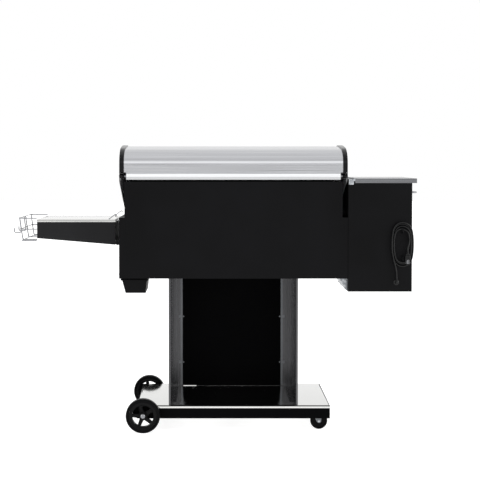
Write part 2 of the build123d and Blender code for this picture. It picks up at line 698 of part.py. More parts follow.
def shelf_brackets():
    """Pivot brackets with their pins, low on the chamber's side."""
    made = []
    for first, last, a, b in ((88, 91, 84, 104), (469, 472, 456, 476)):
        plate = block(BODY_HALF, BODY_HALF + 2.5, a, b, 800, 850)
        ear = rod((PIVOT_X, first, PIVOT_Z), (PIVOT_X, last, PIVOT_Z), 8)
        web = block(BODY_HALF + 2.5, PIVOT_X, first, last, PIVOT_Z - 8, PIVOT_Z + 8)
        bracket = fused([plate, ear, web]) - rod((PIVOT_X, 0, PIVOT_Z), (PIVOT_X, 600, PIVOT_Z), 4)
        made.append(bracket)
    for first, last in ((83, 92), (468, 477)):
        made.append(rod((PIVOT_X, first, PIVOT_Z), (PIVOT_X, last, PIVOT_Z), 4))
    return group(made)


def basket_reach(z):
    """How far out the leaning wire basket reaches at a height."""
    return 938 + (z - 833) * 0.13


def wire_basket():
    """Three wire hoops with bent uprights, and two utensil hooks welded to the outside of the hoops."""
    d0, d1 = SHELF_REAR + 4, SHELF_FRONT - 4
    made = []
    for z in (833.5, 884, 932.5):
        far = basket_reach(z)
        made.append(tube([(SHELF_OUT, d0, z), (far, d0, z), (far, d1, z), (SHELF_OUT, d1, z)], WIRE, 14))
    for d in (98, 280, 462):
        low, high = basket_reach(833.5) - 4, basket_reach(932.5) - 4
        made.append(tube([(SHELF_OUT, d, 838), (low, d, 838), (high, d, 932.5)], WIRE, 8))
    outside, tip = 2 * WIRE + 0.05, HOOK_TIP - WIRE
    hooks = [tube([(basket_reach(934) + outside, d, 934), (basket_reach(866) + outside, d, 866), (tip, d, 866),
                   (tip, d, 886)], WIRE, 7) for d in (150, 290)]
    return group([fused(made)] + hooks)


# ---------------------------------------------------------------- grease drawer

def grease_drawer():
    """A tray with sloping sides and flanges that ride in the runners."""
    outer = [(DRAWER_X0, 665.5), (385, DRAWER_BOTTOM), (473, DRAWER_BOTTOM), (DRAWER_X1, 665.5)]
    inner = [(DRAWER_X0 + SHEET, 670), (387, DRAWER_BOTTOM + SHEET), (471, DRAWER_BOTTOM + SHEET),
             (DRAWER_X1 - SHEET, 670)]
    tray = deep(outer, DRAWER_D0, DRAWER_D1) - deep(inner, DRAWER_D0 + SHEET, DRAWER_D1 - SHEET)
    flanges = [block(DRAWER_X0 - 3.5, DRAWER_X0 + SHEET, DRAWER_D0, DRAWER_D1, 664, 665.5),
               block(DRAWER_X1 - SHEET, DRAWER_X1 + 3.5, DRAWER_D0, DRAWER_D1, 664, 665.5)]
    pull = block(415, 450, DRAWER_D1, DRAWER_D1 + 14, 640, 643)
    return fused([tray, pull] + flanges)


# ---------------------------------------------------------------- all the parts

coil = cord_coil()
parts = {
    "base_shelf": base_shelf(),
    "base_frame": base_frame(),
    "column_shelf_side": column(),
    "column_hopper_side": twin(column()),
    "front_panel": front_panel(),
    "panel_fixings": panel_fixings(),
    "wheel_axle": wheel_axle(),
    "rear_wheel_tyre": wheel_tyre(rear_wheel_d()),
    "rear_wheel_rim": wheel_rim(rear_wheel_d(), -1),
    "front_wheel_tyre": wheel_tyre(front_wheel_d()),
    "front_wheel_rim": wheel_rim(front_wheel_d(), 1),
    "rear_caster_fork": caster_fork(CASTER_INSET),
    "rear_caster_wheel": caster_wheel(CASTER_INSET),
    "front_caster_fork": caster_fork(BASE_DEPTH - CASTER_INSET),
    "front_caster_wheel": caster_wheel(BASE_DEPTH - CASTER_INSET),
    "body_rear_panel": body_rear_panel(),
    "body_front_panel": body_front_panel(),
    "body_side_shelf": body_side(),
    "body_side_hopper": twin(body_side()) - rod((-510, FIRE_D, AUGER_Z), (-490, FIRE_D, AUGER_Z), AUGER_TUBE),
    "body_floor": body_floor(),
    "grate_rails": grate_rails(),
    "fire_pot": fire_pot(),
    "igniter": igniter(),
    "heat_diffuser": heat_diffuser(),
    "grease_pan": grease_pan(),
    "grease_chute": grease_chute(),
    "cooking_grates": cooking_grates(),
    "temperature_probe": temperature_probe(),
    "lid_skin": lid_skin(),
    "lid_caps": group([lid_cap(), twin(lid_cap())]),
    "lid_hinge_brackets": lid_hinge_brackets(),
    "lid_hinge_pins": lid_hinge_pins(),
    "lid_handle": lid_handle(),
    "lid_handle_posts": handle_posts(),
    "hopper_casing": hopper_casing(),
    "hopper_funnel": hopper_funnel(),
    "hopper_hinge": hopper_hinge(),
    "hopper_lid": hopper_lid(),
    "hopper_side_handle": hopper_side_handle(),
    "control_panel": control_panel(),
    "control_display": control_display(),
    "control_knob": control_knob(),
    "power_switch": power_switch(),
    "auger_tube": auger_tube(),
    "auger_screw": auger_screw(),
    "auger_motor": auger_motor(),
    "fan_housing": fan_housing(),
    "fan_impeller": fan_impeller(),
    "air_duct": air_duct(),
    "cord_hooks": cord_hooks(),
    "cord_gland": cord_gland(),
    "cord_lead": cord_length(LEAD, "lead") - coil,
    "cord_coil": coil,
    "cord_tail": cord_length(TAIL, "tail") - coil,
    "cord_plug": cord_plug(),
    "side_shelf_top": shelf_top(),
    "side_shelf_frame": shelf_frame(),
    "side_shelf_brackets": shelf_brackets(),
    "wire_basket": wire_basket(),
    "grease_drawer": grease_drawer(),
}

os.makedirs("parts", exist_ok=True)
for name, shape in parts.items():
    export_step(shape, f"parts/{name}.step")
print(len(parts), "parts")
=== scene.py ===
# %% [markdown]
# A pellet smoker grill seen from behind, on a white studio floor. The steel parts, their sizes and
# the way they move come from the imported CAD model, so this file first loads it and then adds the
# finishes and the pieces that need a hand-made mesh: the tyres and rims, the mains cord, the auger's
# flight, the controls and the small fittings.

# %% Load the frame
import bpy
import math
from mathutils import Matrix, Vector


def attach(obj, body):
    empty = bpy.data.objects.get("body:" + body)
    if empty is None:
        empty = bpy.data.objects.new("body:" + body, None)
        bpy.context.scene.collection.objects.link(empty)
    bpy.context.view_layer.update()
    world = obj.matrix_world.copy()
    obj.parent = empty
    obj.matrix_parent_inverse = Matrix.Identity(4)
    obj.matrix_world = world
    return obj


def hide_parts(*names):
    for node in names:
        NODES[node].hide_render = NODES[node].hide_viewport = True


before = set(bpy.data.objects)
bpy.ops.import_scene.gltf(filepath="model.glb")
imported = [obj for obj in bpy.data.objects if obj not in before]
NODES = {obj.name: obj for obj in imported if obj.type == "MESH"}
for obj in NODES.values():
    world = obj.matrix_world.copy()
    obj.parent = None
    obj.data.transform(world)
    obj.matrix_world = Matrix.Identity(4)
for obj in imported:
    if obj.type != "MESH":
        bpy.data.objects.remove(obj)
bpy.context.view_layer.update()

# %% [markdown]
# The CAD source measures every place from the chamber: x from its middle, d forward from its rear
# panel, z up from the floor, all in millimetres. The same three numbers are used here, so one small
# function turns them into the frame's metres.

# %% Places in the grill's own measures
MID_X = -80.0
REAR_Y = 300.0
MM = 0.001

# Directions: out of the grill's rear and front, towards the side shelf, towards the hopper, and up
BACKWARD, FORWARD = (0, 1, 0), (0, -1, 0)
TO_SHELF, TO_HOPPER = (1, 0, 0), (-1, 0, 0)
UP = (0, 0, 1)


def at(x, d, z):
    """The frame's point, in metres, for x from the chamber's middle, d from the rear panel, z up."""
    return Vector(((MID_X + x) * MM, (REAR_Y - d) * MM, z * MM))


print("chamber's rear middle is at", tuple(round(v, 3) for v in at(0, 0, 1000)))

# %% [markdown]
# The camera comes first. The grill is seen from behind, from far away with a long lens, so that the
# side walls hardly show. The camera looks down by less than two degrees and its lens is shifted down
# and sideways, so that the uprights stay nearly upright. The lens is 98 mm on a 36 mm sensor.

# %% Camera
CAMERA_BACK = 5704
CAMERA_HEIGHT = 1201.6
CAMERA_SIDE = 95.5
LENS_SHIFT = (0.0592, -0.0859)
LOOK_DOWN = 1.81
LENS = 98.1
SENSOR = 36

camera_data = bpy.data.cameras.new("camera")
camera_data.lens = LENS
camera_data.sensor_width = SENSOR
camera_data.shift_x, camera_data.shift_y = LENS_SHIFT
camera = bpy.data.objects.new("camera", camera_data)
bpy.context.scene.collection.objects.link(camera)
camera.location = at(CAMERA_SIDE, -CAMERA_BACK, CAMERA_HEIGHT)
camera.rotation_euler = (math.pi / 2 - math.radians(LOOK_DOWN), 0, math.pi)
bpy.context.scene.camera = camera
print("camera at", tuple(round(v, 3) for v in camera.location))

# %% [markdown]
# Making pieces by hand in edit mode always takes the same few steps: select nothing, add a primitive,
# pick faces by where they are, and at the end put the object at the origin with its place in its mesh.
# These helpers are those steps.

# %% Helpers for modelling
def deselect():
    """Leaves edit mode and selects nothing."""
    if bpy.context.object and bpy.context.object.mode != "OBJECT":
        bpy.ops.object.mode_set(mode="OBJECT")
    bpy.ops.object.select_all(action="DESELECT")


def only(piece):
    """Selects one object alone and makes it active."""
    deselect()
    piece.select_set(True)
    bpy.context.view_layer.objects.active = piece
    return piece


def edit():
    """Enters edit mode."""
    bpy.ops.object.mode_set(mode="EDIT")


def leave():
    """Goes back to object mode."""
    bpy.ops.object.mode_set(mode="OBJECT")


def pick(piece, test, kind="FACE"):
    """In edit mode, selects the faces (or edges, or vertices) whose middle passes the test."""
    bpy.ops.mesh.select_mode(type=kind)
    bpy.ops.mesh.select_all(action="DESELECT")
    leave()
    mesh = piece.data
    chosen = 0
    if kind == "FACE":
        for face in mesh.polygons:
            face.select = bool(test(face.center, face.normal))
            chosen += face.select
    elif kind == "EDGE":
        for edge in mesh.edges:
            a, b = (mesh.vertices[i].co for i in edge.vertices)
            edge.select = bool(test((a + b) / 2, b - a))
            chosen += edge.select
    else:
        for vertex in mesh.vertices:
            vertex.select = bool(test(vertex.co, None))
            chosen += vertex.select
    edit()
    return chosen


def modifier(piece, kind, **settings):
    """Adds a modifier with its settings and applies it."""
    only(piece)
    added = piece.modifiers.new(kind.lower(), kind)
    for key, value in settings.items():
        setattr(added, key, value)
    bpy.ops.object.modifier_apply(modifier=added.name)


def settle(piece):
    """Puts the piece's place, turn and size into its mesh."""
    only(piece)
    bpy.ops.object.transform_apply(location=True, rotation=True, scale=True)


def join(pieces):
    """One object from several."""
    deselect()
    for piece in pieces:
        piece.select_set(True)
    bpy.context.view_layer.objects.active = pieces[0]
    bpy.ops.object.join()
    return pieces[0]


def copy_of(piece, move=(0, 0, 0)):
    """A copy with its own mesh, moved by so many metres."""
    twin = piece.copy()
    twin.data = piece.data.copy()
    bpy.context.scene.collection.objects.link(twin)
    twin.data.transform(Matrix.Translation(move))
    return twin


def turned_round(piece, place, degrees):
    """Turns a piece's mesh about the line from front to rear through a place."""
    spin = Matrix.Rotation(math.radians(degrees), 4, "Y")
    piece.data.transform(Matrix.Translation(place) @ spin @ Matrix.Translation(-place))
    return piece


def finished(piece, name, finish, body, replaces=(), smooth=35):
    """Names a piece, gives it its finish, and puts it on its body."""
    settle(piece)
    bpy.ops.object.shade_smooth_by_angle(angle=math.radians(smooth))
    piece.name = name
    piece.data.name = name
    piece.data.materials.clear()
    piece.data.materials.append(finish)
    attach(piece, body)
    if replaces:
        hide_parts(*replaces)
    print(name, "has", len(piece.data.polygons), "faces")
    return piece

# %% [markdown]
# Colours are written as the sRGB hex values that a colour picker shows. Shaders work in linear light,
# so one function turns hex into linear numbers. A second one adds a node, sets it up and links it.

# %% Helpers for finishes
def linear(hex_colour):
    """An sRGB hex colour as linear red, green, blue and alpha."""
    values = [int(hex_colour[i:i + 2], 16) / 255 for i in (1, 3, 5)]
    return [v / 12.92 if v <= 0.04045 else ((v + 0.055) / 1.055) ** 2.4 for v in values] + [1.0]


def new_finish(name, colour, roughness, metallic=0.0, specular=0.5):
    """A material with its main shader set, and its shader node."""
    made = bpy.data.materials.new(name)
    made.use_nodes = True
    shader = made.node_tree.nodes["Principled BSDF"]
    shader.inputs["Base Color"].default_value = linear(colour)
    shader.inputs["Roughness"].default_value = roughness
    shader.inputs["Metallic"].default_value = metallic
    shader.inputs["Specular IOR Level"].default_value = specular
    return made, shader


def add_node(made, kind, links=None, **settings):
    """Adds one node. links maps an input's name to a value or to (node, output name)."""
    tree = made.node_tree
    node = tree.nodes.new(kind)
    for key, value in settings.items():
        setattr(node, key, value)
    for name, source in (links or {}).items():
        if isinstance(source, tuple) and hasattr(source[0], "outputs"):
            tree.links.new(source[0].outputs[source[1]], node.inputs[name])
        else:
            node.inputs[name].default_value = source
    return node


def wire(made, node, output, shader, socket):
    """Joins a node's output to a socket of the shader."""
    made.node_tree.links.new(node.outputs[output], shader.inputs[socket])


def grain(made, per_metre, detail=3.0, stretch=(1, 1, 1)):
    """A noise with so many cycles to the metre on Object coordinates, stretched along the axes."""
    place = add_node(made, "ShaderNodeTexCoord")
    spread = add_node(made, "ShaderNodeMapping", {"Vector": (place, "Object"), "Scale": stretch})
    return add_node(made, "ShaderNodeTexNoise",
                    {"Vector": (spread, "Vector"), "Scale": per_metre, "Detail": detail})


def tint(made, source, output, low, high):
    """A colour that goes from low to high with a pattern's value."""
    ramp = add_node(made, "ShaderNodeValToRGB", {"Fac": (source, output)})
    ramp.color_ramp.elements[0].position = 0.3
    ramp.color_ramp.elements[0].color = linear(low)
    ramp.color_ramp.elements[1].position = 0.7
    ramp.color_ramp.elements[1].color = linear(high)
    return ramp


def between(made, source, output, low, high):
    """A number that goes from low to high with a pattern's value."""
    return add_node(made, "ShaderNodeMapRange", {"Value": (source, output), "From Min": 0.3,
                                                 "From Max": 0.7, "To Min": low, "To Max": high})


def raised(made, shader, source, output, height_mm, strength=1.0):
    """A bump of so many millimetres from a pattern."""
    bump = add_node(made, "ShaderNodeBump",
                    {"Height": (source, output), "Distance": height_mm * MM, "Strength": strength})
    wire(made, bump, "Normal", shader, "Normal")
    return bump


print("black is", linear("#1b1b1d"))

# %% [markdown]
# Powder coat is a baked plastic skin on steel. It is black with a soft satin shine and a fine orange
# peel. The real grains are about a millimetre; they are drawn at two, so that they show at all.

# %% Black powder coat
def coated(name, low, high, specular, rough_low, rough_high):
    """A powder coat between two colours and two roughnesses."""
    made, shader = new_finish(name, high, rough_low, specular=specular)
    peel = grain(made, 450)
    raised(made, shader, peel, "Fac", 0.12, 0.35)
    cloud = grain(made, 5, 2.0)
    wire(made, tint(made, cloud, "Fac", low, high), "Color", shader, "Base Color")
    wire(made, between(made, cloud, "Fac", rough_low, rough_high), "Result", shader, "Roughness")
    print("made", made.name)
    return made


powder = coated("black_powder_coat", "#050506", "#08080a", 0.08, 0.4, 0.52)
# A darker copy of the coat for the cart's frame and the panel inside the cart: the darkness is painted shade.
shaded_cart_powder = coated("black_powder_coat_cart_painted_shade", "#010102", "#030304", 0.03, 0.45, 0.55)
# A lighter copy of the coat for the side shelf's frame: the lightness is painted light from overhead.
lit_apron_powder = coated("black_powder_coat_shelf_painted_light", "#0d0d0f", "#131315", 0.16, 0.4, 0.5)
cap_powder = coated("black_powder_coat_gloss", "#040405", "#070708", 0.18, 0.18, 0.24)

# %% [markdown]
# Brushed stainless is sheet steel rubbed one way with an abrasive belt. The scratches spread each
# highlight across them and leave faint streaks along them. A noise squeezed across the brushing and
# drawn out along it gives those streaks. The lid is brushed along the grill and the columns upright.

# %% Brushed stainless, along the grill and upright
def brushed(name, stretch, low, high, rough_low, rough_high):
    """A brushed steel whose streaks run along the axis that the stretch is smallest on."""
    made, shader = new_finish(name, high, 0.3, metallic=1.0)
    streak = grain(made, 90, 6.0, stretch)
    wire(made, tint(made, streak, "Fac", low, high), "Color", shader, "Base Color")
    wire(made, between(made, streak, "Fac", rough_low, rough_high), "Result", shader, "Roughness")
    raised(made, shader, streak, "Fac", 0.06, 0.25)
    print("made", made.name)
    return made


lid_steel = brushed("brushed_stainless_along", (0.02, 6, 6), "#b4b5b8", "#c9cacd", 0.14, 0.24)
# A darker copy of the lid's stainless for the hopper's lid: the darkness is painted shade.
shaded_hopper_steel = brushed("brushed_stainless_painted_shade", (0.02, 6, 6), "#6f7073", "#87888b", 0.16, 0.24)
# A much darker copy for the upright columns under the chamber: the darkness is painted shade.
shaded_column_steel = brushed("brushed_stainless_upright_painted_shade", (6, 6, 0.02), "#464647", "#5c5c5e", 0.2, 0.3)
mirror_steel = brushed("polished_stainless", (0.05, 2.5, 2.5), "#d4d4d2", "#e0e0de", 0.07, 0.14)

# %% [markdown]
# Zinc-plated sheet and fasteners have a cool, slightly mottled grey. A cell pattern gives the large
# crystals of hot-dip zinc, about 12 mm across.

# %% Zinc and chrome
zinc, shader = new_finish("zinc_sheet", "#a2a5a8", 0.42, metallic=1.0)
place = add_node(zinc, "ShaderNodeTexCoord")
spangle = add_node(zinc, "ShaderNodeTexVoronoi", {"Vector": (place, "Object"), "Scale": 85.0})
wire(zinc, tint(zinc, spangle, "Distance", "#b0b3b6", "#93969a"), "Color", shader, "Base Color")
wire(zinc, between(zinc, spangle, "Distance", 0.34, 0.5), "Result", shader, "Roughness")

dull_zinc, shader = new_finish("zinc_plate_dull", "#6c6e71", 0.4, metallic=1.0)
chrome, shader = new_finish("chromed_wire", "#86878a", 0.12, metallic=1.0)
haze = grain(chrome, 220)
wire(chrome, between(chrome, haze, "Fac", 0.08, 0.2), "Result", shader, "Roughness")
print("made", zinc.name, chrome.name)

# %% [markdown]
# Steel near the fire turns straw and brown, and seasoned cast iron is a rough oily black. Both are
# inside the chamber and show when the lid is open.

# %% Hot steel and cast iron
hot_steel, shader = new_finish("fire_tinted_steel", "#6f665c", 0.45, metallic=1.0)
heat = grain(hot_steel, 14, 4.0)
wire(hot_steel, tint(hot_steel, heat, "Fac", "#4b443e", "#8d8378"), "Color", shader, "Base Color")
raised(hot_steel, shader, heat, "Fac", 0.3, 0.2)

plain_steel, shader = new_finish("plain_steel", "#8e8c88", 0.36, metallic=1.0)
mill = grain(plain_steel, 60, 4.0)
wire(plain_steel, between(plain_steel, mill, "Fac", 0.28, 0.46), "Result", shader, "Roughness")

iron, shader = new_finish("seasoned_cast_iron", "#19181a", 0.55, specular=0.4)
sand = grain(iron, 500)
raised(iron, shader, sand, "Fac", 0.4, 0.5)
wire(iron, tint(iron, sand, "Fac", "#121112", "#252324"), "Color", shader, "Base Color")
print("made", hot_steel.name, plain_steel.name, iron.name)

# %% [markdown]
# The tyres are a hard rubber compound, the rims, knob and controller are moulded nylon and ABS with a
# fine spark texture, and the mains cord is soft PVC with more shine.

# %% Rubber, plastic and PVC
def moulded(name, low, high, rough_low, rough_high, per_metre, height, specular=0.45):
    """A moulded plastic or rubber with a fine texture of so many cycles to the metre."""
    made, shader = new_finish(name, high, rough_low, specular=specular)
    skin = grain(made, per_metre)
    wire(made, tint(made, skin, "Fac", low, high), "Color", shader, "Base Color")
    wire(made, between(made, skin, "Fac", rough_low, rough_high), "Result", shader, "Roughness")
    raised(made, shader, skin, "Fac", height, 0.4)
    print("made", made.name)
    return made


tyre_rubber = moulded("tyre_rubber", "#020203", "#040405", 0.26, 0.38, 260, 0.1, 0.06)
nylon = moulded("moulded_nylon", "#020203", "#050506", 0.22, 0.32, 600, 0.06, 0.1)
abs_plastic = moulded("textured_abs", "#141416", "#1b1b1e", 0.45, 0.6, 700, 0.12, 0.35)
cord_pvc = moulded("cord_pvc", "#010102", "#030304", 0.12, 0.2, 300, 0.02, 0.25)
legend_paint = moulded("legend_paint", "#c9c9c6", "#d8d8d5", 0.5, 0.6, 400, 0.02)
ember_red = moulded("rocker_red", "#7e1512", "#94201a", 0.3, 0.4, 500, 0.03)

screen_glass, shader = new_finish("display_window", "#0b1416", 0.08, specular=0.6)
screen_tint = grain(screen_glass, 12)
wire(screen_glass, tint(screen_glass, screen_tint, "Fac", "#0a1214", "#0e191c"), "Color", shader,
     "Base Color")
screen_lit, shader = new_finish("display_segments", "#9fd6c8", 0.4)
shader.inputs["Emission Color"].default_value = linear("#9fd6c8")
shader.inputs["Emission Strength"].default_value = 0.6

# %% [markdown]
# Each CAD part takes the finish of its real counterpart. The cart, the hopper's lid and the columns take
# darker copies of theirs and the shelf's frame a lighter one: painted shade and painted light. Most
# keep their CAD shape; a few are replaced further down by a piece modelled by hand.

# %% Finishes for the CAD parts
FINISHES = {
    shaded_cart_powder: ("base_frame", "front_panel"),
    cap_powder: ("lid_caps",),
    powder: ("body_rear_panel", "body_front_panel", "body_side_shelf", "body_side_hopper", "body_floor",
             "lid_hinge_brackets", "hopper_casing", "side_shelf_brackets", "grease_drawer",
             "cord_hooks", "grate_rails"),
    lit_apron_powder: ("side_shelf_frame",),
    mirror_steel: ("base_shelf", "side_shelf_top"),
    lid_steel: ("lid_skin", "lid_handle", "lid_handle_posts"),
    shaded_hopper_steel: ("hopper_lid",),
    shaded_column_steel: ("column_shelf_side", "column_hopper_side"),
    dull_zinc: ("panel_fixings", "rear_caster_fork", "front_caster_fork"),
    zinc: ("air_duct", "hopper_funnel", "grease_chute", "hopper_hinge", "fan_housing"),
    chrome: ("wire_basket", "hopper_side_handle", "wheel_axle", "lid_hinge_pins"),
    hot_steel: ("fire_pot", "igniter", "heat_diffuser", "grease_pan"),
    plain_steel: ("temperature_probe", "auger_tube", "auger_screw", "auger_motor"),
    iron: ("cooking_grates",),
    tyre_rubber: ("rear_wheel_tyre", "front_wheel_tyre", "rear_caster_wheel", "front_caster_wheel"),
    nylon: ("rear_wheel_rim", "front_wheel_rim", "fan_impeller", "cord_gland"),
    abs_plastic: ("control_panel", "control_knob"),
    ember_red: ("power_switch",),
    screen_glass: ("control_display",),
    cord_pvc: ("cord_lead", "cord_coil", "cord_tail", "cord_plug"),
}
for finish, names in FINISHES.items():
    for name in names:
        NODES[name].data.materials.clear()
        NODES[name].data.materials.append(finish)
print("finished", sum(len(names) for names in FINISHES.values()), "CAD parts")

# %% [markdown]
# The studio is plain: a pale floor that meets a white surround, one wide soft light overhead and two
# soft strips at the sides. Behind the viewer the surround is a little darker, with one bright band at
# the height of a light bank, which draws the thin bright line where the lid bends.

# %% Floor, light and surround
deselect()
bpy.ops.mesh.primitive_plane_add(size=60, location=(0, 0, 0))
floor = bpy.context.object
floor.name = "floor"
floor_finish, shader = new_finish("pale_floor", "#c8c8c8", 0.8, specular=0.1)
shader.inputs["Emission Color"].default_value = linear("#ffffff")
shader.inputs["Emission Strength"].default_value = 0.8
floor.data.materials.append(floor_finish)


def soft_light(name, place, aim, wide, high, power):
    """A rectangular soft light at a place, in metres, turned to face a point."""
    data = bpy.data.lights.new(name, "AREA")
    data.shape = "RECTANGLE"
    data.size, data.size_y, data.energy = wide, high, power
    lamp = bpy.data.objects.new(name, data)
    bpy.context.scene.collection.objects.link(lamp)
    lamp.location = place
    lamp.rotation_euler = (Vector(aim) - Vector(place)).to_track_quat("-Z", "Y").to_euler()
    lamp.visible_glossy = name != "overhead"


soft_light("overhead", (0, 0.3, 3.4), (0, 0, 0), 3.4, 2.4, 34)
soft_light("side_right", (-2.4, 1.5, 1.3), (-0.3, 0, 0.9), 0.7, 1.8, 14)
soft_light("side_left", (2.4, 1.5, 1.3), (0.3, 0, 0.9), 0.7, 1.8, 10)

world = bpy.data.worlds.new("surround")
world.use_nodes = True
bpy.context.scene.world = world
sky = world.node_tree.nodes["Background"]
direction = add_node(world, "ShaderNodeTexCoord")
parts = add_node(world, "ShaderNodeSeparateXYZ", {"Vector": (direction, "Generated")})
rise = add_node(world, "ShaderNodeMapRange", {"Value": (parts, "Z"), "From Min": 0.12, "From Max": 0.32,
                                              "To Min": 0.0, "To Max": 1.0})
fall = add_node(world, "ShaderNodeMapRange", {"Value": (parts, "Z"), "From Min": 0.45, "From Max": 0.62,
                                              "To Min": 0.0, "To Max": 0.85})
high = add_node(world, "ShaderNodeMath", {0: (rise, "Result"), 1: (fall, "Result")}, operation="SUBTRACT")
near = add_node(world, "ShaderNodeMapRange", {"Value": (parts, "Y"), "From Min": -0.3, "From Max": 0.1,
                                              "To Min": 0.0, "To Max": 1.0})
behind = add_node(world, "ShaderNodeMapRange", {"Value": (parts, "Y"), "From Min": -0.3, "From Max": 0.7,
                                                "To Min": 1.0, "To Max": 0.7})
softbox = add_node(world, "ShaderNodeMath", {0: (high, "Value"), 1: (near, "Result")}, operation="MULTIPLY")
total = add_node(world, "ShaderNodeMath", {0: (behind, "Result"), 1: (softbox, "Value")}, operation="ADD")
wire(world, total, "Value", sky, "Strength")
sky.inputs["Color"].default_value = (1, 1, 1, 1)
bpy.context.scene.view_settings.view_transform = "Standard"
print("studio ready")

# %% [markdown]
# The mains cord leaves the hopper's rear face low down, through a rubber boot, runs up and is wound
# loosely over two hooks, and its plug hangs inside the turns. A cord has a fixed length, so it is one
# smooth spline with a round bevel. The turns come from a formula: ovals that shrink a little from
# turn to turn and lie at different depths, as a hand winds them. Blender reckons a curve's size from
# its points' radii, so the points hold the cord's radius and the bevel's own depth is 1.

# %% The cord's route
CORD = 7
COIL_X = -737
COIL_Z = 822
LEAD = [(-712, -14, 676), (-712, -14, 692), (-709.5, -15, 712), (-705.5, -16.5, 732), (-699, -18, 752),
        (-696, -18, 772)]
TAIL = [(-754.3, -17.4, 883.2), (-763.4, -19.2, 871.7), (-766.5, -23, 852.4), (-764, -32, 834),
        (-758, -39.5, 815), (-755, -41, 798)]
TURNS = [(47, 98, -20.5), (45.5, 95, -12.5), (39, 82, -12.5), (38, 78, -20.5), (40, 48.6, -9)]
STRAIGHTNESS = 2.2  # near 0 a turn is an ellipse, and higher its sides are straighter
FIRST_ANGLE = -29
LAST_ANGLE = 106.7 + 3 * 360
STEPS = 66


def coil_point(step):
    """A point of the winding: half width, half height and depth go from each turn's to the next's."""
    angle = FIRST_ANGLE + (LAST_ANGLE - FIRST_ANGLE) * step / STEPS
    turn, part = divmod((angle - FIRST_ANGLE) / 360, 1)
    here, there = TURNS[int(turn)], TURNS[int(turn) + 1]
    wide, high, deep = (a + (b - a) * part for a, b in zip(here, there))
    round_ = math.radians(angle)
    side = math.tanh(STRAIGHTNESS * math.sin(round_)) / math.tanh(STRAIGHTNESS)
    return (COIL_X + wide * math.cos(round_), deep,
            COIL_Z + wide * math.sin(round_) + (high - wide) * side)


route = [at(*p) for p in LEAD + [coil_point(step) for step in range(1, STEPS)] + TAIL]

cord_data = bpy.data.curves.new("mains_cord", "CURVE")
cord_data.dimensions = "3D"
cord_data.resolution_u = 8
cord_data.bevel_depth = 1
cord_data.bevel_resolution = 4
cord_data.use_fill_caps = True
line = cord_data.splines.new("NURBS")
line.points.add(len(route) - 1)
for point, place in zip(line.points, route):
    point.co = (*place, 1)
    point.radius = CORD / 2 * MM
line.order_u = 3
line.use_endpoint_u = True
mains_cord = bpy.data.objects.new("mains_cord", cord_data)
bpy.context.scene.collection.objects.link(mains_cord)
print("the cord has", len(route), "points")

# %% [markdown]
# Much of the grill is round about a line: tyres, rims, knobs, the cord's boot. On a lathe a piece is
# cut from its outline, and here the outline is spun the same way. It lists places along the line and
# the radius there, in millimetres.

# %% Turning a piece from its outline
def turned(outline, place, along, steps=64, ring=False):
    """Spins (along, radius) points about a line through a place. A ring's outline joins up."""
    along = Vector(along).normalized()
    side = along.orthogonal().normalized()
    points = [place + (along * a + side * r) * MM for a, r in outline]
    edges = [(i, i + 1) for i in range(len(points) - 1)] + ([(len(points) - 1, 0)] if ring else [])
    mesh = bpy.data.meshes.new("outline")
    mesh.from_pydata(points, edges, [])
    piece = bpy.data.objects.new("turned", mesh)
    bpy.context.scene.collection.objects.link(piece)
    only(piece)
    edit()
    bpy.ops.mesh.select_all(action="SELECT")
    bpy.ops.mesh.spin(steps=steps, angle=2 * math.pi, center=place, axis=along)
    bpy.ops.mesh.select_all(action="SELECT")
    bpy.ops.mesh.remove_doubles(threshold=0.01 * MM)
    bpy.ops.mesh.dissolve_degenerate(threshold=0.001 * MM)
    bpy.ops.mesh.select_all(action="SELECT")
    bpy.ops.mesh.normals_make_consistent(inside=False)
    leave()
    return piece


def slab(x0, x1, d0, d1, z0, z1, bevel=0.0, segments=2):
    """A block between six limits, with all its edges rounded by so many millimetres."""
    deselect()
    low, high = at(x0, d1, z0), at(x1, d0, z1)
    bpy.ops.mesh.primitive_cube_add(size=1, location=(low + high) / 2)
    piece = bpy.context.object
    piece.scale = high - low
    settle(piece)
    if bevel:
        edit()
        bpy.ops.mesh.select_all(action="SELECT")
        bpy.ops.mesh.bevel(offset=bevel * MM, segments=segments, affect="EDGES")
        leave()
    return piece


print("helpers ready")

# %% [markdown]
# The boot is one rubber moulding: a flange pressed on the sheet, a short elbow, and a ribbed taper
# that lets the cord bend without kinking. The ribs are what make a boot flexible, so they are turned
# in the outline.

# %% The boot where the cord comes out
GLAND = (-712, 656)
flange = turned([(0, 0), (0, 12), (2.5, 12), (4, 10.5), (4.6, 8), (5, 7), (14, 6.4), (16, 5), (17, 0)],
                at(GLAND[0], 0, GLAND[1]), BACKWARD)
ribs = [(-5, 0), (-4.5, 4.2), (-1, 6.3)]
for i in range(5):
    z = 1 + i * 3.4
    wide = 6.2 - i * 0.32
    ribs += [(z, wide), (z + 1.9, wide - 0.1), (z + 2.2, wide - 0.9), (z + 3.1, wide - 1.0)]
ribs += [(19, 4.6), (20, 4.1), (20, 0)]
boot = turned(ribs, at(GLAND[0], -14, GLAND[1]), UP)
gland_boot = finished(join([flange, boot]), "gland_boot", cord_pvc, "grill",
                      replaces=["cord_gland"])

# %% [markdown]
# A moulded plug has a waisted grip, a ribbed strain relief and two flat blades with a round earth pin.
# The grip starts as a block, its middle is pulled in, and a subdivision rounds it.

